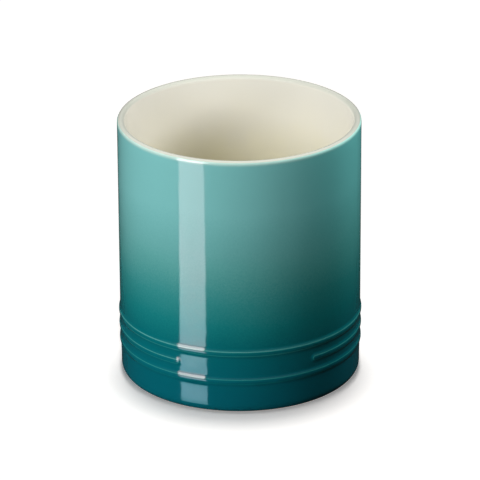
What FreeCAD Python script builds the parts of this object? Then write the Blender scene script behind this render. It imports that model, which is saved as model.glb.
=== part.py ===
import FreeCAD, Part
import math
import os
import Sketcher

# A utensil crock in glazed stoneware: a straight clay jar with three raised rings near its base,
# a cream glaze inside that wraps over the rim, a colour glaze outside, and a glazed recess
# inside the bare foot ring that it stands on.
# Millimetres, +Z up the jar's axis, origin at the middle of the foot on the table.
# The bare place in the middle ring faces -Y.

# Driving dimensions: name, size, meaning.
SIZES = [
    ("height", 178.0, "table to the top of the glazed rim"),
    ("outer_diameter", 160.0, "across the glazed wall just under the rim"),
    ("clay_wall", 4.4, "clay thickness of the wall"),
    ("clay_floor", 6.0, "clay thickness of the floor"),
    ("glaze", 0.4, "thickness of each coat of glaze"),
    ("wall_narrowing", 0.3, "how far the wall draws in from the rim to the top ring"),
    ("skirt_narrowing", 0.6, "how far it draws in from the top ring to the base corner"),
    ("base_corner", 5.0, "clay radius of the corner between wall and underside"),
    ("inside_corner", 12.0, "clay radius of the corner between inside wall and floor"),
    ("seam_angle", 45.0, "degrees up the outside of the rim where the two glazes meet"),
    ("foot_inset", 2.7, "width of the underside between base corner and foot ring"),
    ("foot_width", 6.0, "width of the foot ring"),
    ("foot_height", 1.2, "height of the underside over the table"),
    ("foot_edge", 0.4, "rounding of the foot ring's two edges"),
    ("recess_height", 2.0, "height of the clay inside the foot ring over the table"),
    ("ring_height", 23.7, "table to the middle of the lowest ring"),
    ("ring_pitch", 10.0, "from one ring to the next"),
    ("ring_width", 5.8, "width that a ring's round would have at the wall without its blends"),
    ("ring_relief", 0.8, "how far a ring stands out of the wall"),
    ("ring_blend", 5.6, "clay radius of the hollow blend along both sides of a ring"),
    ("ring_sink", 0.28, "depth under the wall's surface at which the middle ring's blend levels out"),
    ("panel_angle", 69.0, "degrees of the bare place in the middle ring, between its end centres"),
]
LOWEST_RING, MIDDLE_RING, TOP_RING = range(3)

# Sizes worked out from the sheet, as expressions that the sketches are bound to.
WALL_RADIUS = "(Sizes.outer_diameter / 2 - Sizes.glaze)"
BAND_RADIUS = f"({WALL_RADIUS} - Sizes.wall_narrowing)"
BASE_RADIUS = f"({BAND_RADIUS} - Sizes.skirt_narrowing)"
RIM_ROUND = "(Sizes.clay_wall / 2)"
RIM_CENTRE = f"({WALL_RADIUS} - {RIM_ROUND})"
RIM_HEIGHT = f"(Sizes.height - Sizes.glaze - {RIM_ROUND})"
BAND_HEIGHT = f"(Sizes.ring_height + {TOP_RING} * Sizes.ring_pitch)"
CORNER_HEIGHT = "(Sizes.foot_height + Sizes.base_corner)"
CORNER_CENTRE = f"({BASE_RADIUS} - Sizes.base_corner)"
FOOT_OUTSIDE = f"({CORNER_CENTRE} - Sizes.foot_inset)"
FOOT_INSIDE = f"({FOOT_OUTSIDE} - Sizes.foot_width)"
FLOOR_HEIGHT = "(Sizes.recess_height + Sizes.clay_floor)"
INSIDE_TOP = f"({WALL_RADIUS} - Sizes.clay_wall)"
INSIDE_BOTTOM = f"({INSIDE_TOP} - Sizes.wall_narrowing)"
INSIDE_CORNER_CENTRE = f"({INSIDE_BOTTOM} - Sizes.inside_corner)"
INSIDE_CORNER_HEIGHT = f"({FLOOR_HEIGHT} + Sizes.inside_corner)"
RING_ROUND = "((Sizes.ring_width ^ 2 / 4 + Sizes.ring_relief ^ 2) / (2 * Sizes.ring_relief))"

# How a sketch numbers the points of an edge and its own two axes, which start at its origin.
START, END, CENTRE = range(1, 4)
HORIZONTAL_AXIS, VERTICAL_AXIS = range(-1, -3, -1)
ORIGIN = (HORIZONTAL_AXIS, START)
NOUGHT_AXIS = {"X": VERTICAL_AXIS, "Y": HORIZONTAL_AXIS}

# Which way an arc turns, seen along its path.
LEFT = True
RIGHT = False


def make_sheet(doc):
    """Put the driving dimensions in a sheet, one row each, with the name as the cell's alias."""
    sheet = doc.addObject("Spreadsheet::Sheet", "Sizes")
    for row, (name, size, meaning) in enumerate(SIZES, start=1):
        sheet.set(f"A{row}", meaning)
        sheet.set(f"B{row}", str(size))
        sheet.setAlias(f"B{row}", name)
    doc.recompute()
    return sheet


def amount(expression):
    """The number that an expression over the sheet stands for."""
    return float(sheet.evalExpression(expression))


def pin(sketch, geometry, point, direction, expression):
    """Bind one coordinate of a sketch point to an expression."""
    if expression == "0":
        rule = Sketcher.Constraint("PointOnObject", geometry, point, NOUGHT_AXIS[direction])
        sketch.addConstraint(rule)
        return
    rule = Sketcher.Constraint("Distance" + direction, *ORIGIN, geometry, point, amount(expression))
    sketch.setExpression(f"Constraints[{sketch.addConstraint(rule)}]", expression)


def straight(across, up):
    """A corner of a profile that a straight edge leaves."""
    return across, up, None


def bend(across, up, centre, turns_left):
    """A corner of a profile that an arc leaves, about a centre."""
    return across, up, (centre, turns_left)


def add_arc(sketch, start, end, centre, turns_left):
    """Draw one arc with its centre bound, and return it with its start and end points."""
    middle = FreeCAD.Vector(amount(centre[0]), amount(centre[1]), 0)
    circle = Part.Circle(middle, FreeCAD.Vector(0, 0, 1), start.distanceToPoint(middle))
    first, last = (start, end) if turns_left else (end, start)
    first_angle = math.atan2(first.y - middle.y, first.x - middle.x)
    last_angle = math.atan2(last.y - middle.y, last.x - middle.x)
    arc = sketch.addGeometry(Part.ArcOfCircle(circle, first_angle, last_angle))
    pin(sketch, arc, CENTRE, "X", centre[0])
    pin(sketch, arc, CENTRE, "Y", centre[1])
    return (arc, START, END) if turns_left else (arc, END, START)


def draw_profile(body, name, corners):
    """Draw a closed profile in the plane of Y and Z, its corners straight or bend.

    Each corner is pinned both ways, except at the end of an arc: that lies on the arc's circle
    already, so it is pinned along the circle only.
    """
    sketch = body.newObject("Sketcher::SketchObject", name)
    plane = [item for item in body.Origin.OriginFeatures if item.Role == "YZ_Plane"][0]
    sketch.AttachmentSupport = (plane, [""])
    sketch.MapMode = "FlatFace"
    points = [FreeCAD.Vector(amount(across), amount(up), 0) for across, up, _ in corners]
    edges = []
    for number, start in enumerate(points):
        end = points[(number + 1) % len(points)]
        arc = corners[number][2]
        if arc:
            edges.append(add_arc(sketch, start, end, *arc))
        else:
            edges.append((sketch.addGeometry(Part.LineSegment(start, end)), START, END))
    for number, (across, up, _) in enumerate(corners):
        edge, edge_start, _ = edges[number]
        last_edge, _, last_end = edges[number - 1]
        last_arc = corners[number - 1][2]
        sketch.addConstraint(Sketcher.Constraint("Coincident", last_edge, last_end, edge, edge_start))
        if not last_arc:
            pin(sketch, edge, edge_start, "X", across)
            pin(sketch, edge, edge_start, "Y", up)
            continue
        middle_across, middle_up = last_arc[0]
        sideways = abs(points[number].x - amount(middle_across))
        upwards = abs(points[number].y - amount(middle_up))
        if sideways > upwards:
            pin(sketch, edge, edge_start, "Y", up)
        else:
            pin(sketch, edge, edge_start, "X", across)
    return sketch


def turn(sketch, axis="V_Axis", angle="360", both_ways=False, backwards=False):
    """Revolve a profile about one of its sketch's own axes, in the sketch's body."""
    body = sketch.getParentGeoFeatureGroup()
    turned = body.newObject("PartDesign::Revolution", f"{sketch.Name}_turn")
    turned.Profile = sketch
    turned.ReferenceAxis = (sketch, [axis])
    turned.Midplane = both_ways
    turned.Reversed = backwards
    turned.setExpression("Angle", angle)
    doc.recompute()
    return body


def new_body(name):
    """A body of its own, labelled with the name of its piece."""
    body = doc.addObject("PartDesign::Body", name)
    body.Label = name
    return body


def ring_place(number):
    """Height of a ring's middle, and the clay radius of the wall there."""
    up = f"(Sizes.ring_height + {number} * Sizes.ring_pitch)"
    share = f"(({up} - {CORNER_HEIGHT}) / ({BAND_HEIGHT} - {CORNER_HEIGHT}))"
    return up, f"({BASE_RADIUS} + Sizes.skirt_narrowing * {share})"


def ring_outline(wall, up, skin, sink):
    """Five corners of a ring's outline, going up: blend, bead in two halves, blend, wall.

    A ring is a low round bead that a hollow blend on each side eases into the wall: a circle
    sunk in the wall between two circles outside it. A skin grows the bead and shrinks the blends.
    """
    lean_cosine = f"(1 - (Sizes.ring_relief + {sink}) / ({RING_ROUND} + Sizes.ring_blend))"
    lean_sine = f"sqrt(1 - {lean_cosine} ^ 2)"
    reach = f"({RING_ROUND} + Sizes.ring_blend) * {lean_sine}"
    rise = f"({RING_ROUND} + {skin}) * {lean_sine}"
    bead = f"({wall} + Sizes.ring_relief - {RING_ROUND})"
    blend = f"{wall} - {sink} + Sizes.ring_blend"
    crest = f"{bead} + {RING_ROUND} + {skin}"
    shoulder = f"{bead} + ({RING_ROUND} + {skin}) * {lean_cosine}"
    foot = f"{wall} + {skin} - {sink}"
    return [
        bend(foot, f"{up} - {reach}", (blend, f"{up} - {reach}"), RIGHT),
        bend(shoulder, f"{up} - {rise}", (bead, up), LEFT),
        bend(crest, up, (bead, up), LEFT),
        bend(shoulder, f"{up} + {rise}", (blend, f"{up} + {reach}"), RIGHT),
        straight(foot, f"{up} + {reach}"),
    ]


def full_ring(number, skin):
    """The corners that a ring all the way round adds to the wall's profile."""
    up, wall = ring_place(number)
    below, shoulder, _, upper_shoulder, above = ring_outline(wall, up, skin, "0")
    return [below, shoulder, upper_shoulder, above]


def make_middle_ring(name, skin):
    """The ring that stops at the bare place: a long arc and two rounded ends, rooted in the wall.

    Each end is the upper half of the same section, turned about the ring's own radius.
    """
    up, wall = ring_place(MIDDLE_RING)
    root = f"{wall} - Sizes.clay_wall / 4"
    outline = ring_outline(wall, up, skin, "Sizes.ring_sink")
    corners = [straight(root, outline[0][1]), *outline, straight(root, outline[-1][1])]
    sketch = draw_profile(new_body(f"{name}_arc"), f"{name}_section", corners)
    solids = [turn(sketch, angle="360 - Sizes.panel_angle", both_ways=True)]
    upper_half = ring_outline(wall, "0", skin, "Sizes.ring_sink")[2:]
    corners = [*upper_half, straight(root, upper_half[-1][1]), straight(root, "0")]
    for side, sign in (("left", ""), ("right", "-")):
        half = draw_profile(new_body(f"{name}_{side}_end"), f"{name}_{side}_section", corners)
        heading = f"{sign}(180 - Sizes.panel_angle / 2)"
        half.AttachmentOffset = FreeCAD.Placement(
            FreeCAD.Vector(0, amount(up), 0),
            FreeCAD.Rotation(FreeCAD.Vector(0, 1, 0), amount(heading)),
        )
        half.setExpression("AttachmentOffset.Base.y", up)
        half.setExpression("AttachmentOffset.Rotation.Angle", heading)
        solids.append(turn(half, "H_Axis", "180", backwards=side == "left"))
    return solids


def join(name, solids):
    """One solid made of several that overlap."""
    joined = doc.addObject("Part::MultiFuse", name)
    joined.Label = name
    joined.Shapes = solids
    doc.recompute()
    return joined


def make_stoneware_body():
    """The fired clay: floor, wall with its rounded rim, raised rings, and the foot ring under it."""
    foot_edge_height = "Sizes.foot_edge"
    inner_edge = f"{FOOT_INSIDE} + Sizes.foot_edge"
    outer_edge = f"{FOOT_OUTSIDE} - Sizes.foot_edge"
    corners = [
        straight("0", "Sizes.recess_height"),
        straight(FOOT_INSIDE, "Sizes.recess_height"),
        bend(FOOT_INSIDE, foot_edge_height, (inner_edge, foot_edge_height), LEFT),
        straight(inner_edge, "0"),
        bend(outer_edge, "0", (outer_edge, foot_edge_height), LEFT),
        straight(FOOT_OUTSIDE, foot_edge_height),
        straight(FOOT_OUTSIDE, "Sizes.foot_height"),
        bend(CORNER_CENTRE, "Sizes.foot_height", (CORNER_CENTRE, CORNER_HEIGHT), LEFT),
        straight(BASE_RADIUS, CORNER_HEIGHT),
        *full_ring(LOWEST_RING, "0"),
        *full_ring(TOP_RING, "0"),
        bend(WALL_RADIUS, RIM_HEIGHT, (RIM_CENTRE, RIM_HEIGHT), LEFT),
        straight(INSIDE_TOP, RIM_HEIGHT),
        bend(INSIDE_BOTTOM, INSIDE_CORNER_HEIGHT, (INSIDE_CORNER_CENTRE, INSIDE_CORNER_HEIGHT), RIGHT),
        straight(INSIDE_CORNER_CENTRE, FLOOR_HEIGHT),
        straight("0", FLOOR_HEIGHT),
    ]
    jar = turn(draw_profile(new_body("clay_jar"), "clay_profile", corners))
    return join("stoneware_body", [jar, *make_middle_ring("clay_ring", "0")])


def seam_point(reach):
    """Where the two glazes meet on the rim's round, at a distance from its centre."""
    across = f"{RIM_CENTRE} + {reach} * cos(Sizes.seam_angle)"
    up = f"{RIM_HEIGHT} + {reach} * sin(Sizes.seam_angle)"
    return across, up


def make_outer_glaze(clay):
    """The colour glaze: the clay's outside grown by one coat, less the clay itself.

    It runs from the seam on the rim to the end of the base corner, clear of the foot ring.
    """
    corners = [
        straight(RIM_CENTRE, RIM_HEIGHT),
        straight(f"{BASE_RADIUS} - {RIM_ROUND}", CORNER_HEIGHT),
        straight(CORNER_CENTRE, CORNER_HEIGHT),
        bend(CORNER_CENTRE, "Sizes.foot_height - Sizes.glaze", (CORNER_CENTRE, CORNER_HEIGHT), LEFT),
        straight(f"{BASE_RADIUS} + Sizes.glaze", CORNER_HEIGHT),
        *full_ring(LOWEST_RING, "Sizes.glaze"),
        *full_ring(TOP_RING, "Sizes.glaze"),
        bend(f"{WALL_RADIUS} + Sizes.glaze", RIM_HEIGHT, (RIM_CENTRE, RIM_HEIGHT), LEFT),
        straight(*seam_point(f"({RIM_ROUND} + Sizes.glaze)")),
    ]
    sleeve = turn(draw_profile(new_body("glaze_sleeve"), "glaze_profile", corners))
    glaze = doc.addObject("Part::Cut", "outer_glaze")
    glaze.Label = "outer_glaze"
    glaze.Base = join("glaze_envelope", [sleeve, *make_middle_ring("glaze_ring", "Sizes.glaze")])
    glaze.Tool = clay
    doc.recompute()
    return glaze


def make_liner_glaze():
    """The cream glaze: over the floor, up the inside wall and across the rim to the seam."""
    floor_corner = (INSIDE_CORNER_CENTRE, INSIDE_CORNER_HEIGHT)
    rim = (RIM_CENTRE, RIM_HEIGHT)
    corners = [
        straight("0", FLOOR_HEIGHT),
        bend(INSIDE_CORNER_CENTRE, FLOOR_HEIGHT, floor_corner, LEFT),
        straight(INSIDE_BOTTOM, INSIDE_CORNER_HEIGHT),
        bend(INSIDE_TOP, RIM_HEIGHT, rim, RIGHT),
        straight(*seam_point(RIM_ROUND)),
        bend(*seam_point(f"({RIM_ROUND} + Sizes.glaze)"), rim, LEFT),
        straight(f"{INSIDE_TOP} - Sizes.glaze", RIM_HEIGHT),
        bend(f"{INSIDE_BOTTOM} - Sizes.glaze", INSIDE_CORNER_HEIGHT, floor_corner, RIGHT),
        straight(INSIDE_CORNER_CENTRE, f"{FLOOR_HEIGHT} + Sizes.glaze"),
        straight("0", f"{FLOOR_HEIGHT} + Sizes.glaze"),
    ]
    return turn(draw_profile(new_body("liner_glaze"), "liner_profile", corners))


def make_base_glaze():
    """The thin glaze in the recess under the floor, inside the bare foot ring."""
    lower = "Sizes.recess_height - Sizes.glaze"
    corners = [
        straight("0", lower),
        straight(FOOT_INSIDE, lower),
        straight(FOOT_INSIDE, "Sizes.recess_height"),
        straight("0", "Sizes.recess_height"),
    ]
    return turn(draw_profile(new_body("base_glaze"), "base_profile", corners))


doc = FreeCAD.newDocument("utensil_crock")
sheet = make_sheet(doc)
clay = make_stoneware_body()
pieces = [clay, make_outer_glaze(clay), make_liner_glaze(), make_base_glaze()]
doc.recompute()

for item in doc.Objects:
    if {"Invalid", "Error"} & set(item.State):
        raise RuntimeError(f"{item.Label} failed to build")
for piece in pieces:
    if piece.Shape.isNull() or not piece.Shape.isValid():
        raise RuntimeError(f"{piece.Label} has no valid shape")

os.makedirs("parts", exist_ok=True)
for piece in pieces:
    piece.Shape.exportStep(f"parts/{piece.Label}.step")
    box = piece.Shape.BoundBox
    print(f"{piece.Label}: {len(piece.Shape.Solids)} solid, {piece.Shape.Volume / 1000:.2f} cm3, "
          f"z {box.ZMin:.2f} to {box.ZMax:.2f}, across {box.XLength:.2f}")
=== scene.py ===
# %% [markdown]
# A utensil crock in glazed stoneware
#
# The crock is a straight jar that was formed from clay in a mould, fired, glazed and fired again.
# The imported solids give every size. This lesson turns the same profile again as smooth surfaces,
# gives each coat of glaze and the bare clay its own finish, and lights the jar as a studio would.

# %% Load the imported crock
import math

import bpy
import numpy as np
from mathutils import Euler, Matrix


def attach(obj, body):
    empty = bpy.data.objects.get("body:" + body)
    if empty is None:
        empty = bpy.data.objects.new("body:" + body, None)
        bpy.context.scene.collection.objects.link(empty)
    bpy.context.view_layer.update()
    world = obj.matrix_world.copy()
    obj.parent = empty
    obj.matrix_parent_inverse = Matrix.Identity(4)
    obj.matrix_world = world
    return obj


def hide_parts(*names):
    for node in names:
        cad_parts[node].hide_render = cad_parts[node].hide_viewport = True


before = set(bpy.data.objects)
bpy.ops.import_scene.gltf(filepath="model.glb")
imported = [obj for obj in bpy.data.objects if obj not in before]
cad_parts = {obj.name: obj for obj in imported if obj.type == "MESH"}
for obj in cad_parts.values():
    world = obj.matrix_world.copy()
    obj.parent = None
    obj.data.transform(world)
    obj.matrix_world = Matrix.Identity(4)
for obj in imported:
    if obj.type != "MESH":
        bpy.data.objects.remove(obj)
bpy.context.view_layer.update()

# %% [markdown]
# Sizes of the jar
#
# Everything on a turned pot hangs on a few radii and heights, so they are named once, in metres.
# The clay has a wall and a floor, and every coat of glaze adds one skin to it.

# %% Sizes in metres
MM = 0.001
HEIGHT = 178 * MM
GLAZE = 0.4 * MM
CLAY_WALL = 4.4 * MM
WALL_RADIUS = 80 * MM - GLAZE
BAND_RADIUS = WALL_RADIUS - 0.3 * MM
BASE_RADIUS = BAND_RADIUS - 0.6 * MM
FOOT_HEIGHT = 1.2 * MM
BASE_CORNER = 5 * MM
CORNER_HEIGHT = FOOT_HEIGHT + BASE_CORNER
CORNER_CENTRE = BASE_RADIUS - BASE_CORNER
RIM_ROUND = CLAY_WALL / 2
RIM_CENTRE = WALL_RADIUS - RIM_ROUND
RIM_HEIGHT = HEIGHT - GLAZE - RIM_ROUND
SEAM_ANGLE = math.radians(45)
FOOT_OUTSIDE = CORNER_CENTRE - 2.7 * MM
FOOT_INSIDE = FOOT_OUTSIDE - 6 * MM
FOOT_EDGE = 0.4 * MM
RECESS_HEIGHT = 2 * MM
FLOOR_HEIGHT = RECESS_HEIGHT + 6 * MM
INSIDE_TOP = WALL_RADIUS - CLAY_WALL
INSIDE_BOTTOM = INSIDE_TOP - 0.3 * MM
INSIDE_CORNER = 12 * MM
INSIDE_CORNER_CENTRE = INSIDE_BOTTOM - INSIDE_CORNER
INSIDE_CORNER_HEIGHT = FLOOR_HEIGHT + INSIDE_CORNER
RING_HEIGHTS = np.array([23.7, 33.7, 43.7]) * MM
RING_RELIEF = 0.8 * MM
RING_BLEND = 5.6 * MM
RING_WIDTH = 5.8 * MM
RING_ROUND = (RING_WIDTH ** 2 / 4 + RING_RELIEF ** 2) / (2 * RING_RELIEF)
HALF_BARE_PLACE = math.radians(69 / 2)
print("wall", round(1000 * (CLAY_WALL + 2 * GLAZE), 2), "mm with its glazes")

# %% [markdown]
# The band of raised rings
#
# Three low rings run round the jar near its base, and the middle one stops with rounded ends on
# either side of a bare place at the front. They could be modelled edge by edge, but a ring is only
# a height over the wall that depends on the distance from the ring's middle line. Measuring that
# distance to the stopped ring gives its round ends for free.

# %% Height of the rings over the wall
LEAN_COSINE = 1 - RING_RELIEF / (RING_ROUND + RING_BLEND)
LEAN_SINE = math.sqrt(1 - LEAN_COSINE ** 2)
RING_REACH = (RING_ROUND + RING_BLEND) * LEAN_SINE


def ring_profile(distance, skin):
    """Height over the wall by distance from a ring's middle line.

    Near the line it is a circle whose top stands one relief over the wall. Further out it is
    a circle outside the wall that touches both the first circle and the wall. A skin of glaze
    grows the first circle and shrinks the second.
    """
    bead = RING_ROUND + skin
    blend = RING_BLEND - skin
    on_bead = RING_RELIEF - bead + np.sqrt(np.maximum(bead ** 2 - distance ** 2, 0))
    on_blend = blend - np.sqrt(np.maximum(blend ** 2 - (RING_REACH - distance) ** 2, 0))
    outside = np.where(distance < RING_REACH, on_blend, 0)
    return np.where(distance < bead * LEAN_SINE, on_bead, outside)


def ring_distance(turn, height):
    """Distance to the nearest ring, unrolled: upright to a full ring, or to the stopped ring's end."""
    lowest, middle, top = (np.abs(height - ring) for ring in RING_HEIGHTS)
    past_end = BAND_RADIUS * np.maximum(HALF_BARE_PLACE - np.abs(turn), 0)
    return np.minimum(np.minimum(lowest, top), np.hypot(past_end, middle))


print("a ring reaches", round(1000 * RING_REACH, 2), "mm up and down from its middle")

# %% [markdown]
# A profile carried round the axis
#
# A pot on a wheel is one outline carried round an axis. A Screw modifier could do that, but here
# the outline changes a little on the way round, where the middle ring stops, so radius and height
# are worked out on a whole grid of outline points by directions at once.

# %% Grid of directions, and a mesh from a grid
END_ZONE = math.radians(3.6)
SHARP_ANGLE = math.radians(40)
POLE_RADIUS = 4 * MM


def directions(back_count, end_count, front_count):
    """Directions round the jar, nought at the front, closer together where the ring's ends are."""
    inner = HALF_BARE_PLACE - END_ZONE
    outer = HALF_BARE_PLACE + END_ZONE / 2
    stops = [-math.pi, -outer, -inner, inner, outer, math.pi]
    counts = [back_count, end_count, front_count, end_count, back_count]
    runs = [np.linspace(a, b, n, endpoint=False) for a, b, n in zip(stops, stops[1:], counts)]
    return np.concatenate(runs)


def arc(centre_radius, centre_height, size, start, end, count):
    """Points of a rounded corner: radius and height on a circle, from one angle to another."""
    angle = np.radians(np.linspace(start, end, count))
    return np.stack([centre_radius + size * np.cos(angle), centre_height + size * np.sin(angle)])


def line(start, end, count):
    """Points of a straight run between two (radius, height) points, without its last point."""
    share = np.linspace(0, 1, count, endpoint=False)
    return np.outer(start, 1 - share) + np.outer(end, share)


def carried_round(outline, count):
    """Grids of radius and height: the same outline in each of a count of directions."""
    return [np.repeat(values[:, None], count, axis=1) for values in outline]


def turned_mesh(name, radius, height, turn, joined):
    """Mesh of grids of radius and height, outline points by directions.

    A point goes to radius times the sine and minus cosine of its direction, at its height. The
    last outline point joins the first where joined is true. Otherwise both ends lie on the axis
    and are closed by one point and a fan of triangles each.
    """
    rows, columns = radius.shape
    points = np.stack([radius * np.sin(turn), -radius * np.cos(turn), height], axis=-1).reshape(-1, 3)
    numbers = np.arange(rows * columns).reshape(rows, columns)
    upper = np.roll(numbers, -1, axis=0)
    aside = np.roll(numbers, -1, axis=1)
    corner = np.roll(upper, -1, axis=1)
    quads = np.stack([numbers, aside, corner, upper], axis=-1)
    faces = quads if joined else quads[:-1]
    faces = faces.reshape(-1, 4).tolist()
    if not joined:
        first_pole = len(points)
        last_pole = first_pole + 1
        points = np.vstack([points, [[0, 0, height[0, 0]], [0, 0, height[-1, 0]]]])
        first_row = np.stack([np.full(columns, first_pole), aside[0], numbers[0]], axis=-1)
        last_row = np.stack([np.full(columns, last_pole), numbers[-1], aside[-1]], axis=-1)
        faces = faces + first_row.tolist() + last_row.tolist()
    mesh = bpy.data.meshes.new(name)
    mesh.from_pydata(points.tolist(), [], faces)
    mesh.polygons.foreach_set("use_smooth", np.ones(len(mesh.polygons), dtype=bool))
    mesh.set_sharp_from_angle(angle=SHARP_ANGLE)
    return mesh


def add_piece(name, mesh, node):
    """Put a mesh in the scene as a piece that stands for its solid."""
    piece = bpy.data.objects.new(name, mesh)
    bpy.context.scene.collection.objects.link(piece)
    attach(piece, "root")
    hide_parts(node)
    triangles = sum(len(face.vertices) - 2 for face in mesh.polygons)
    print(name, "has", triangles, "triangles")
    return piece


# %% [markdown]
# The colour glaze on the outside
#
# This glaze is one thin coat that was sprayed over the outside. It begins part-way over the rim,
# where it meets the cream glaze, follows the rings and the rounded base corner, and stops short of
# the foot. Its shell is closed: up the outside, down again on the clay.

# %% Outer glaze
def outside_outline(skin, band_step, wall_rows):
    """Radius and height up the outside of the jar, with a skin, from base corner to glaze seam."""
    band_low = RING_HEIGHTS[0] - RING_REACH
    band_high = RING_HEIGHTS[-1] + RING_REACH
    band_rows = int((band_high - band_low) / band_step)
    heights = np.concatenate([
        np.linspace(CORNER_HEIGHT, band_low, 6)[1:-1],
        np.linspace(band_low, band_high, band_rows),
        np.linspace(band_high, RIM_HEIGHT, wall_rows)[1:-1],
    ])
    knees = [CORNER_HEIGHT, RING_HEIGHTS[-1], RIM_HEIGHT]
    wall = np.interp(heights, knees, [BASE_RADIUS, BAND_RADIUS, WALL_RADIUS]) + skin
    seam = math.degrees(SEAM_ANGLE)
    return np.hstack([
        arc(CORNER_CENTRE, CORNER_HEIGHT, BASE_CORNER + skin, -90, 0, 10),
        np.stack([wall, heights]),
        arc(RIM_CENTRE, RIM_HEIGHT, RIM_ROUND + skin, 0, seam, 8),
    ])


def with_rings(outline, turn, skin):
    """Grids of radius and height of an outside outline, with the rings raised on it."""
    radius, height = carried_round(outline, len(turn))
    return radius + ring_profile(ring_distance(turn[None, :], height), skin), height


glaze_turn = directions(156, 24, 84)
outer_radius, outer_height = with_rings(outside_outline(GLAZE, 0.3 * MM, 18), glaze_turn, GLAZE)
inner_radius, inner_height = with_rings(outside_outline(0, 0.7 * MM, 8), glaze_turn, 0)
coat_radius = np.vstack([outer_radius, inner_radius[::-1]])
coat_height = np.vstack([outer_height, inner_height[::-1]])
outer_mesh = turned_mesh("outer_glaze_coat", coat_radius, coat_height, glaze_turn, joined=True)
outer_glaze = add_piece("outer_glaze_coat", outer_mesh, "outer_glaze")

# %% [markdown]
# Where the glaze runs thin
#
# Melted glaze draws back from raised edges, so both shoulders of a ring show a fine paler line. The
# line on the lower shoulder is drawn at 0.6 of the strength of the upper one. Each point of the coat
# keeps how thin the glaze is there, as a value that the material can read.

# %% Thin glaze on the shoulders of the rings
SHOULDER = 1.5 * MM
SHOULDER_WIDTH = 0.36 * MM
LOWER_SHARE = 0.6
from_shoulder = (ring_distance(glaze_turn[None, :], coat_height) - SHOULDER) / SHOULDER_WIDTH
nearest_ring = RING_HEIGHTS[np.abs(coat_height[..., None] - RING_HEIGHTS).argmin(axis=-1)]
over_ring = np.clip((coat_height - nearest_ring) / SHOULDER, -1, 1)
thin_share = np.exp(-from_shoulder ** 2) * np.interp(over_ring, [-1, 1], [LOWER_SHARE, 1])
thinness = outer_mesh.attributes.new("thinness", "FLOAT", "POINT")
thinness.data.foreach_set("value", thin_share.ravel())
print("thin glaze on", np.count_nonzero(np.abs(from_shoulder) < 1), "points")

# %% [markdown]
# The cream glaze inside
#
# The inside was glazed by pouring, so this coat covers the floor, the rounded corner and the wall,
# and wraps over the rim to the seam. Its outline goes out along the clay floor, up and over the rim,
# and comes back on the side that shows.

# %% Liner glaze
def inside_outline(skin):
    """Radius and height from near the axis, along the floor, up the inside wall and over the rim."""
    seam = math.degrees(SEAM_ANGLE)
    return np.hstack([
        line((POLE_RADIUS, FLOOR_HEIGHT + skin), (INSIDE_CORNER_CENTRE, FLOOR_HEIGHT + skin), 14),
        arc(INSIDE_CORNER_CENTRE, INSIDE_CORNER_HEIGHT, INSIDE_CORNER - skin, -90, 0, 14),
        line((INSIDE_BOTTOM - skin, INSIDE_CORNER_HEIGHT), (INSIDE_TOP - skin, RIM_HEIGHT), 24)[:, 1:],
        arc(RIM_CENTRE, RIM_HEIGHT, RIM_ROUND + skin, 180, seam, 18),
    ])


LINER_DIRECTIONS = 360
liner_turn = np.linspace(-math.pi, math.pi, LINER_DIRECTIONS, endpoint=False)
liner_outline = np.hstack([inside_outline(0), inside_outline(GLAZE)[:, ::-1]])
liner_radius, liner_height = carried_round(liner_outline, LINER_DIRECTIONS)
liner_mesh = turned_mesh("liner_glaze_coat", liner_radius, liner_height, liner_turn, joined=False)
liner_glaze = add_piece("liner_glaze_coat", liner_mesh, "liner_glaze")

# %% [markdown]
# The clay and its foot
#
# The clay shows only where no glaze may touch the kiln shelf: the foot ring and the narrow step
# around it. Its outline starts under the floor, goes round the foot, up the outside with the rings,
# and back down the inside.

# %% Fired clay
foot_outline = np.hstack([
    line((POLE_RADIUS, RECESS_HEIGHT), (FOOT_INSIDE, RECESS_HEIGHT), 8),
    line((FOOT_INSIDE, RECESS_HEIGHT), (FOOT_INSIDE, FOOT_EDGE), 3),
    arc(FOOT_INSIDE + FOOT_EDGE, FOOT_EDGE, FOOT_EDGE, 180, 270, 6),
    line((FOOT_INSIDE + FOOT_EDGE, 0), (FOOT_OUTSIDE - FOOT_EDGE, 0), 4)[:, 1:],
    arc(FOOT_OUTSIDE - FOOT_EDGE, FOOT_EDGE, FOOT_EDGE, -90, 0, 6),
    line((FOOT_OUTSIDE, FOOT_EDGE), (FOOT_OUTSIDE, FOOT_HEIGHT), 2)[:, 1:],
    line((FOOT_OUTSIDE, FOOT_HEIGHT), (CORNER_CENTRE, FOOT_HEIGHT), 3),
])
clay_turn = directions(110, 16, 56)
clay_outside_radius, clay_outside_height = with_rings(outside_outline(0, 0.6 * MM, 10), clay_turn, 0)
foot_radius, foot_height = carried_round(foot_outline, len(clay_turn))
clay_inside_radius, clay_inside_height = carried_round(inside_outline(0)[:, ::-1], len(clay_turn))
clay_mesh = turned_mesh(
    "fired_clay",
    np.vstack([foot_radius, clay_outside_radius, clay_inside_radius[1:]]),
    np.vstack([foot_height, clay_outside_height, clay_inside_height[1:]]),
    clay_turn,
    joined=False,
)
fired_clay = add_piece("fired_clay", clay_mesh, "stoneware_body")

# %% [markdown]
# The glaze under the floor
#
# Inside the foot ring the underside keeps a thin wash of the colour glaze. Surface tension drew it
# a little way up the foot ring, so its face dips towards the middle instead of ending in a sharp edge.

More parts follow.
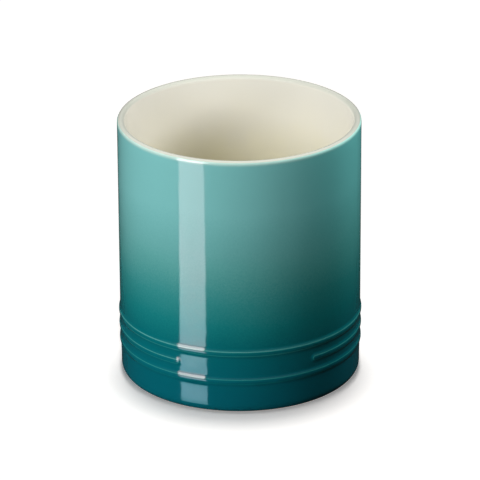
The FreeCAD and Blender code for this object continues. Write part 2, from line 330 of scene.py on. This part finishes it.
# %% Base glaze
BASE_DIRECTIONS = 240
BASE_ROWS = 40
CLIMB = 0.25 * MM
CLIMB_WIDTH = 0.9 * MM
BASE_FACE_HEIGHT = RECESS_HEIGHT - GLAZE + 0.1 * MM
base_radius_points = FOOT_INSIDE * np.sqrt(np.linspace(0.004, 1, BASE_ROWS))
climb = CLIMB * np.exp((base_radius_points - FOOT_INSIDE) / CLIMB_WIDTH)
base_face = np.stack([base_radius_points, BASE_FACE_HEIGHT - climb])
base_back = np.stack([base_radius_points, np.full(BASE_ROWS, RECESS_HEIGHT)])
base_outline = np.hstack([base_face, base_back[:, ::-1]])
base_grid_radius, base_grid_height = carried_round(base_outline, BASE_DIRECTIONS)
base_turn = np.linspace(-math.pi, math.pi, BASE_DIRECTIONS, endpoint=False)
base_mesh = turned_mesh("base_glaze_coat", base_grid_radius, base_grid_height, base_turn, joined=False)
base_glaze = add_piece("base_glaze_coat", base_mesh, "base_glaze")

# %% [markdown]
# Colours and nodes
#
# Colours are written as the hex values a paint program shows. Light adds up in linear values, so one
# function turns hex to linear. One more adds a node, sets its fields and joins it to other nodes.

# %% Helpers for materials
def linear(hex_colour):
    """Linear red, green, blue and alpha of an sRGB hex colour."""
    shown = np.array([int(hex_colour[i:i + 2], 16) for i in (1, 3, 5)]) / 255
    light = np.where(shown <= 0.04045, shown / 12.92, ((shown + 0.055) / 1.055) ** 2.4)
    return (*light.tolist(), 1.0)


def add_node(tree, kind, sockets, **fields):
    """Add a node, set its fields, and give each socket a value or a link from another node."""
    node = tree.nodes.new(kind)
    for field, value in fields.items():
        setattr(node, field, value)
    for socket, value in sockets.items():
        if isinstance(value, bpy.types.NodeSocket):
            tree.links.new(value, node.inputs[socket])
        else:
            node.inputs[socket].default_value = value
    return node


def set_stops(ramp_node, stops):
    """Give a colour ramp its stops, as pairs of position and hex colour, lowest first."""
    ramp = ramp_node.color_ramp
    ramp.elements[0].position, ramp.elements[0].color = stops[0][0], linear(stops[0][1])
    ramp.elements[1].position, ramp.elements[1].color = stops[-1][0], linear(stops[-1][1])
    for position, colour in stops[1:-1]:
        ramp.elements.new(position).color = linear(colour)


def new_material(name):
    """An empty node material with an output, and its tree."""
    material = bpy.data.materials.new(name)
    material.use_nodes = True
    material.node_tree.nodes.clear()
    return material, material.node_tree


# %% [markdown]
# Sprayed glaze, pale to dark
#
# Stoneware glaze is a coat of coloured glass. Two colours were sprayed here, the dark one from below
# and thinning upwards, so the change is soft and made of fine drops. The height over the table chooses
# the colour, a fine noise shifts that height by a few millimetres, which shows as spray only where the
# colour changes, and a slow noise keeps the change from being ruler straight. Thin glaze counts as
# glaze from further up, which is paler. Over the rim the colour turns nearly white: the glaze runs thin
# there, and the pale colour also paints in a highlight on the rim's rounding. A faint swell in the glass
# bends reflections a little, as poured or sprayed glass does.

# %% Sprayed stoneware glaze
GLAZE_STOPS = [
    (14, "#03626F"),
    (34, "#046973"),
    (48, "#066D73"),
    (62, "#147D7F"),
    (79, "#318D8C"),
    (96, "#52A09D"),
    (113, "#65AEAC"),
    (141, "#77BFBE"),
    (172, "#78BFBE"),
]
# Nearly white over the rim: the glaze runs thin there, and this colour also paints a highlight on the
# rim's rounding.
THIN_GLAZE_AND_HIGHLIGHT_ON_RIM = "#C6DED4"
RIM_PALE_START = RIM_HEIGHT - 1.2 * MM
THIN_LIFT = 60 * MM
DROP_SIZE = 1.1 * MM
DROP_SHIFT = 14 * MM
DRIFT_SIZE = 45 * MM
DRIFT_SHIFT = 10 * MM
SWELL_SIZE = 9 * MM
SWELL_RISE = 0.2 * MM
sprayed_glaze, tree = new_material("sprayed_stoneware_glaze")
place = add_node(tree, "ShaderNodeTexCoord", {}).outputs["Object"]
height_over_table = add_node(tree, "ShaderNodeSeparateXYZ", {"Vector": place}).outputs["Z"]
drops = add_node(tree, "ShaderNodeTexNoise", {"Vector": place, "Scale": 1 / DROP_SIZE, "Detail": 2.0})
drift = add_node(tree, "ShaderNodeTexNoise", {"Vector": place, "Scale": 1 / DRIFT_SIZE, "Detail": 1.0})
drop_shift = add_node(
    tree, "ShaderNodeMath", {0: drops.outputs["Fac"], 1: -0.5}, operation="ADD")
drift_shift = add_node(
    tree, "ShaderNodeMath", {0: drift.outputs["Fac"], 1: -0.5}, operation="ADD")
drop_height = add_node(
    tree, "ShaderNodeMath", {0: drop_shift.outputs[0], 1: DROP_SHIFT, 2: height_over_table},
    operation="MULTIPLY_ADD")
drift_height = add_node(
    tree, "ShaderNodeMath", {0: drift_shift.outputs[0], 1: DRIFT_SHIFT, 2: drop_height.outputs[0]},
    operation="MULTIPLY_ADD")
thin = add_node(tree, "ShaderNodeAttribute", {}, attribute_name="thinness", attribute_type="GEOMETRY")
spray_height = add_node(
    tree, "ShaderNodeMath", {0: thin.outputs["Fac"], 1: THIN_LIFT, 2: drift_height.outputs[0]},
    operation="MULTIPLY_ADD")
share = add_node(
    tree, "ShaderNodeMath", {0: spray_height.outputs[0], 1: HEIGHT}, operation="DIVIDE")
glaze_colour = add_node(tree, "ShaderNodeValToRGB", {"Fac": share.outputs[0]})
set_stops(glaze_colour, [(height * MM / HEIGHT, colour) for height, colour in GLAZE_STOPS])
# Near the top of the rim the colour turns pale: thin glaze with a painted highlight.
rim_pale_share = add_node(
    tree, "ShaderNodeMapRange",
    {"Value": height_over_table, "From Min": RIM_PALE_START, "From Max": HEIGHT - GLAZE},
    interpolation_type="SMOOTHSTEP")
rim_paled_colour = add_node(
    tree, "ShaderNodeMix",
    {0: rim_pale_share.outputs["Result"], 6: glaze_colour.outputs["Color"], 7: linear(THIN_GLAZE_AND_HIGHLIGHT_ON_RIM)},
    data_type="RGBA")
swell = add_node(tree, "ShaderNodeTexNoise", {"Vector": place, "Scale": 1 / SWELL_SIZE, "Detail": 1.0})
swell_bump = add_node(
    tree, "ShaderNodeBump",
    {"Height": swell.outputs["Fac"], "Strength": 0.3, "Distance": SWELL_RISE})
gloss = add_node(
    tree, "ShaderNodeMapRange",
    {"Value": drift.outputs["Fac"], "To Min": 0.05, "To Max": 0.09})
glass = add_node(tree, "ShaderNodeBsdfPrincipled", {
    "Base Color": rim_paled_colour.outputs[2],
    "Roughness": gloss.outputs["Result"],
    "IOR": 1.5,
    "Normal": swell_bump.outputs["Normal"],
})
add_node(tree, "ShaderNodeOutputMaterial", {"Surface": glass.outputs["BSDF"]})
outer_mesh.materials.append(sprayed_glaze)
base_mesh.materials.append(sprayed_glaze)
print(sprayed_glaze.name, "with", len(GLAZE_STOPS), "colours by height")

# %% [markdown]
# Poured cream glaze
#
# The liner is a cream glass that was poured in and out again. It covers evenly, with faint clouds
# where it ran thicker. Its colour turns warmer towards the floor, which is painted bounce light from the
# cream walls, and darker and greyer towards the top and over the rim, which is painted shade. It is
# nearly as glossy as the outside.

# %% Poured cream glaze
# Cream tones by height: the warmer low stop is painted bounce light, and the darker, greyer high stops
# are painted shade.
CREAM_AND_PAINTED_LIGHT_STOPS = [
    (0.06, "#DBD3B9"),
    (0.6, "#DFDABF"),
    (0.78, "#D8D5C8"),
    (0.92, "#D6D4CB"),
]
# Greyer, darker cream over the rim: painted shade.
RIM_PAINTED_SHADE = "#BCBEB2"
CLOUD_SIZE = 26 * MM
CLOUD_SHIFT = 30 * MM
POURED_SWELL_SIZE = 12 * MM
POURED_SWELL_RISE = 0.06 * MM
cream_glaze, tree = new_material("poured_cream_glaze")
place = add_node(tree, "ShaderNodeTexCoord", {}).outputs["Object"]
height_over_table = add_node(tree, "ShaderNodeSeparateXYZ", {"Vector": place}).outputs["Z"]
clouds = add_node(tree, "ShaderNodeTexNoise", {"Vector": place, "Scale": 1 / CLOUD_SIZE, "Detail": 3.0})
cloud_height = add_node(
    tree, "ShaderNodeMath", {0: clouds.outputs["Fac"], 1: CLOUD_SHIFT, 2: height_over_table},
    operation="MULTIPLY_ADD")
share = add_node(
    tree, "ShaderNodeMath", {0: cloud_height.outputs[0], 1: HEIGHT + CLOUD_SHIFT}, operation="DIVIDE")
cream_and_painted_light_colour = add_node(tree, "ShaderNodeValToRGB", {"Fac": share.outputs[0]})
set_stops(cream_and_painted_light_colour, CREAM_AND_PAINTED_LIGHT_STOPS)
# Over the rim the colour turns to the painted shade.
rim_shade_share = add_node(
    tree, "ShaderNodeMapRange",
    {"Value": height_over_table, "From Min": RIM_HEIGHT, "From Max": HEIGHT - GLAZE},
    interpolation_type="SMOOTHSTEP")
rim_shaded_colour = add_node(
    tree, "ShaderNodeMix",
    {0: rim_shade_share.outputs["Result"], 6: cream_and_painted_light_colour.outputs["Color"], 7: linear(RIM_PAINTED_SHADE)},
    data_type="RGBA")
swell = add_node(
    tree, "ShaderNodeTexNoise",
    {"Vector": place, "Scale": 1 / POURED_SWELL_SIZE, "Detail": 1.0})
swell_bump = add_node(
    tree, "ShaderNodeBump",
    {"Height": swell.outputs["Fac"], "Strength": 0.3, "Distance": POURED_SWELL_RISE})
gloss = add_node(
    tree, "ShaderNodeMapRange",
    {"Value": clouds.outputs["Fac"], "To Min": 0.1, "To Max": 0.16})
glass = add_node(tree, "ShaderNodeBsdfPrincipled", {
    "Base Color": rim_shaded_colour.outputs[2],
    "Roughness": gloss.outputs["Result"],
    "IOR": 1.5,
    "Normal": swell_bump.outputs["Normal"],
})
add_node(tree, "ShaderNodeOutputMaterial", {"Surface": glass.outputs["BSDF"]})
liner_mesh.materials.append(cream_glaze)
print(cream_glaze.name, "with", len(CREAM_AND_PAINTED_LIGHT_STOPS), "tones")

# %% [markdown]
# Bare fired stoneware
#
# Where the glaze was wiped off, the clay fires to a matt sandy buff. Its grains are under a millimetre
# across: some are darker specks of iron, and all of them make the surface slightly rough.

# %% Bare stoneware
CLAY_STOPS = [(0.3, "#B39A78"), (0.5, "#C9B493"), (0.72, "#D8C8AC")]
IRON_SPECK = "#6E5840"
GRAIN_SIZE = 0.8 * MM
GRAIN_RISE = 0.15 * MM
SPECK_SPACING = 2.2 * MM
bare_clay, tree = new_material("bare_fired_stoneware")
place = add_node(tree, "ShaderNodeTexCoord", {}).outputs["Object"]
grains = add_node(tree, "ShaderNodeTexNoise", {"Vector": place, "Scale": 1 / GRAIN_SIZE, "Detail": 4.0})
specks = add_node(tree, "ShaderNodeTexVoronoi", {"Vector": place, "Scale": 1 / SPECK_SPACING})
clay_colour = add_node(tree, "ShaderNodeValToRGB", {"Fac": grains.outputs["Fac"]})
set_stops(clay_colour, CLAY_STOPS)
speck_share = add_node(
    tree, "ShaderNodeMapRange",
    {"Value": specks.outputs["Distance"], "From Min": 0.1, "From Max": 0.2, "To Min": 0.7, "To Max": 0.0})
speckled = add_node(
    tree, "ShaderNodeMix",
    {0: speck_share.outputs["Result"], 6: clay_colour.outputs["Color"], 7: linear(IRON_SPECK)},
    data_type="RGBA")
grain_bump = add_node(
    tree, "ShaderNodeBump",
    {"Height": grains.outputs["Fac"], "Strength": 0.6, "Distance": GRAIN_RISE})
matt = add_node(tree, "ShaderNodeBsdfPrincipled", {
    "Base Color": speckled.outputs[2],
    "Roughness": 0.85,
    "IOR": 1.5,
    "Normal": grain_bump.outputs["Normal"],
})
add_node(tree, "ShaderNodeOutputMaterial", {"Surface": matt.outputs["BSDF"]})
clay_mesh.materials.append(bare_clay)
print(bare_clay.name, "with", len(CLAY_STOPS), "tones and iron specks")

# %% [markdown]
# The camera
#
# The photograph looks down at the jar from about 23 degrees through a long lens, which keeps the
# sides of the jar nearly upright. The camera aims at the middle of the jar and is turned a little to
# the left of the bare place.

# %% Camera
ELEVATION = math.radians(22.84)
AZIMUTH = math.radians(-3.0)
DISTANCE = 3.2
LENS_LENGTH = 363.3
SENSOR_WIDTH = 36
AIM = np.array([0.0001, 0.0, 0.0907])
ROLL = math.radians(-0.31)

back = np.array([
    math.sin(AZIMUTH) * math.cos(ELEVATION),
    -math.cos(AZIMUTH) * math.cos(ELEVATION),
    math.sin(ELEVATION),
])
lens = bpy.data.cameras.new("camera")
lens.sensor_width = SENSOR_WIDTH
lens.lens = LENS_LENGTH
camera = bpy.data.objects.new("camera", lens)
bpy.context.scene.collection.objects.link(camera)
camera.location = AIM + DISTANCE * back
upright = Euler((math.pi / 2 - ELEVATION, 0, AZIMUTH)).to_matrix()
camera.rotation_euler = (upright @ Matrix.Rotation(ROLL, 3, "Z")).to_euler()
bpy.context.scene.camera = camera
print("camera", [round(value, 3) for value in camera.location])

# %% [markdown]
# The floor
#
# The crock stands on a plain white table, which keeps its soft shadow. A part of the white is light of
# its own that only the camera sees, so that the closed shadow round the foot doesn't go black. To the
# light that bounces, the table is a dark grey, and the glaze doesn't mirror it. From below it is clear,
# so that the foot can be looked at.

# %% Floor
FLOOR_SIZE = 12.0
FLOOR_TO_CAMERA = "#FAFAFA"
FLOOR_TO_BOUNCES = "#424242"
OWN_LIGHT = 0.28
floor_mesh = bpy.data.meshes.new("floor")
floor_mesh.from_pydata(
    [(-FLOOR_SIZE, -FLOOR_SIZE, 0), (FLOOR_SIZE, -FLOOR_SIZE, 0),
     (FLOOR_SIZE, FLOOR_SIZE, 0), (-FLOOR_SIZE, FLOOR_SIZE, 0)], [], [(0, 1, 2, 3)])
floor = bpy.data.objects.new("floor", floor_mesh)
bpy.context.scene.collection.objects.link(floor)
floor.visible_glossy = False
floor.visible_shadow = False
floor_paint, tree = new_material("white_studio_floor")
path = add_node(tree, "ShaderNodeLightPath", {})
floor_colour = add_node(
    tree, "ShaderNodeMix",
    {0: path.outputs["Is Camera Ray"], 6: linear(FLOOR_TO_BOUNCES), 7: linear(FLOOR_TO_CAMERA)},
    data_type="RGBA")
own_light = add_node(
    tree, "ShaderNodeMath", {0: path.outputs["Is Camera Ray"], 1: OWN_LIGHT}, operation="MULTIPLY")
paint = add_node(tree, "ShaderNodeBsdfPrincipled", {
    "Base Color": floor_colour.outputs[2],
    "Roughness": 0.9,
    "Specular IOR Level": 0.0,
    "Emission Color": (1, 1, 1, 1),
    "Emission Strength": own_light.outputs[0],
})
clear = add_node(tree, "ShaderNodeBsdfTransparent", {})
from_below = add_node(tree, "ShaderNodeNewGeometry", {}).outputs["Backfacing"]
one_sided = add_node(
    tree, "ShaderNodeMixShader",
    {0: from_below, 1: paint.outputs["BSDF"], 2: clear.outputs["BSDF"]})
add_node(tree, "ShaderNodeOutputMaterial", {"Surface": one_sided.outputs["Shader"]})
floor_mesh.materials.append(floor_paint)
print(floor_paint.name, "with", OWN_LIGHT, "of its own light")

# %% [markdown]
# Lamps
#
# Every lamp is a plain soft box that lights only what it is linked to, so only the two table lights
# throw a shadow on the table. One is a far oval, high over the table and a little behind the jar, and
# its shadow closes round the foot at the front. The other is a long, narrow strip that runs overhead
# from the front to the back, and it keeps the table pale on both sides of the base. A box close over
# the jar fills its sides from above, a box on the left models it, and a small card lower on the left
# lifts the rings. A light from behind on the right draws that edge. Three lights, from above, left and
# right, reach into the mouth, and one under the table shows the foot.

# %% Lamps
WHITE = "#FFFFFF"
WARM_WHITE = "#FFEFEF"
COOL_WHITE = "#DCFFFD"
TABLE_WHITE = "#FFFBF8"


def lit_group(name, *pieces):
    """A collection of the pieces that a lamp lights."""
    group = bpy.data.collections.new(name)
    for piece in pieces:
        group.objects.link(piece)
    return group


def add_lamp(name, azimuth, elevation, distance, size, radiance, receivers, tint=WHITE, **seen_by):
    """Add a rectangular soft light that faces the middle of the jar and lights its receivers.

    The azimuth is measured from the front towards the right, and both angles are in degrees. The
    power in watts is pi times the radiance times the area.
    """
    light = bpy.data.lights.new(name, "AREA")
    light.shape = "RECTANGLE"
    light.size, light.size_y = size
    light.energy = math.pi * radiance * light.size * light.size_y
    light.color = linear(tint)[:3]
    lamp = bpy.data.objects.new(name, light)
    bpy.context.scene.collection.objects.link(lamp)
    side, rise = math.radians(azimuth), math.radians(elevation)
    lamp.location = (
        distance * math.sin(side) * math.cos(rise),
        -distance * math.cos(side) * math.cos(rise),
        distance * math.sin(rise) + HEIGHT / 2,
    )
    lamp.rotation_euler = (math.pi / 2 - rise, 0, side)
    lamp.light_linking.receiver_collection = receivers
    lamp.visible_camera = False
    for kind, value in seen_by.items():
        setattr(lamp, kind, value)
    return lamp


table = lit_group("table", floor)
outside = lit_group("outside", outer_glaze, fired_clay)
inside = lit_group("inside", liner_glaze)
underneath = lit_group("underneath", base_glaze, fired_clay)
BOX_SIDE = -47.7
BOX_WIDTH = 0.492
NOT_MIRRORED = {"visible_glossy": False}
table_light = add_lamp("table_light", 173.4, 85.1, 40.0, (6.3, 6.5), 74, table, TABLE_WHITE)
table_light.data.shape = "ELLIPSE"
add_lamp("table_strip_light", 0, 74, 40.0, (1.1, 28.0), 43.5, table, TABLE_WHITE)
add_lamp("top_box", 0, 90, 0.29, (0.6, 0.6), 1.52, outside, COOL_WHITE, **NOT_MIRRORED)
add_lamp("soft_box", BOX_SIDE, 6.3, 1.1, (BOX_WIDTH, 0.42), 12.4, outside, WARM_WHITE)
add_lamp("left_card", -52, -8, 0.45, (0.3, 0.12), 3.9, outside, WARM_WHITE, **NOT_MIRRORED)
add_lamp("right_edge_light", 110, 44, 0.5, (0.3, 0.3), 6.6, outside, COOL_WHITE, **NOT_MIRRORED)
add_lamp("mouth_top_light", 0, 90, 0.37, (0.9, 0.9), 0.72, inside)
add_lamp("mouth_left_light", -52, 30, 1.1, (0.6, 0.6), 11, inside, **NOT_MIRRORED)
add_lamp("mouth_right_light", 75, 25, 1.1, (0.6, 0.3), 17.5, inside, **NOT_MIRRORED)
add_lamp("foot_light", 0, -60, 1.0, (0.8, 0.8), 1.6, underneath, **NOT_MIRRORED)

# %% [markdown]
# The strip in the glaze
#
# Glossy glaze on an upright wall mirrors a soft box as an upright strip. Here the strip runs from the rim
# to the foot, so two more boxes stand over and under the first one, only to be mirrored. The lower one
# fades and cools downwards, which a colour ramp over the height of the lamp gives.

# %% Boxes that are only mirrored
MIRROR_ONLY = {"visible_diffuse": False}
FOOT_STOPS = [
    (0.1, "#7CAEB7"),
    (0.145, "#98C4D3"),
    (0.16, "#9DC9D8"),
    (0.18, "#92B8C3"),
    (0.205, "#ABD0DA"),
    (0.27, "#B2D4DD"),
    (0.31, "#C4D9DF"),
    (0.34, "#CED5DB"),
    (0.39, "#D6C7D0"),
    (0.46, "#BFADB0"),
]
add_lamp("soft_box_head", BOX_SIDE, 29, 1.1, (BOX_WIDTH, 0.46), 14, outside, **MIRROR_ONLY)
soft_box_foot = add_lamp(
    "soft_box_foot", BOX_SIDE, -18.3, 1.16, (BOX_WIDTH, 0.58), 8.3, outside, **MIRROR_ONLY)
soft_box_foot.data.use_nodes = True
tree = soft_box_foot.data.node_tree
tree.nodes.clear()
over_lamp = add_node(tree, "ShaderNodeNewGeometry", {}).outputs["Parametric"]
up_lamp = add_node(tree, "ShaderNodeSeparateXYZ", {"Vector": over_lamp}).outputs["Y"]
lamp_colour = add_node(tree, "ShaderNodeValToRGB", {"Fac": up_lamp})
set_stops(lamp_colour, FOOT_STOPS)
glow = add_node(tree, "ShaderNodeEmission", {"Color": lamp_colour.outputs["Color"]})
add_node(tree, "ShaderNodeOutputLight", {"Surface": glow.outputs["Emission"]})
print("mirrored boxes over and under the soft box, the lower one with", len(FOOT_STOPS), "colours")

# %% [markdown]
# The room
#
# The room is white to the camera, and the glaze mirrors it above the table. Below the table it is nearly
# dark, and it lights nothing by itself.

# %% World
ROOM_BELOW = 0.015
ROOM_ABOVE = 0.4
world = bpy.data.worlds.new("studio")
world.use_nodes = True
bpy.context.scene.world = world
tree = world.node_tree
tree.nodes.clear()
path = add_node(tree, "ShaderNodeLightPath", {})
direction = add_node(tree, "ShaderNodeTexCoord", {}).outputs["Generated"]
upwards = add_node(tree, "ShaderNodeSeparateXYZ", {"Vector": direction}).outputs["Z"]
over_table = add_node(
    tree, "ShaderNodeMapRange",
    {"Value": upwards, "From Min": 0.0, "From Max": 0.3, "To Min": ROOM_BELOW, "To Max": ROOM_ABOVE})
mirrored = add_node(
    tree, "ShaderNodeMath", {0: path.outputs["Is Glossy Ray"], 1: over_table.outputs["Result"]},
    operation="MULTIPLY")
strength = add_node(
    tree, "ShaderNodeMath", {0: mirrored.outputs[0], 1: path.outputs["Is Camera Ray"]},
    operation="MAXIMUM")
room = add_node(tree, "ShaderNodeBackground", {"Color": (1, 1, 1, 1), "Strength": strength.outputs[0]})
add_node(tree, "ShaderNodeOutputWorld", {"Surface": room.outputs["Background"]})
bpy.context.scene.view_settings.view_transform = "Standard"
print("room", world.name, "white to the camera")
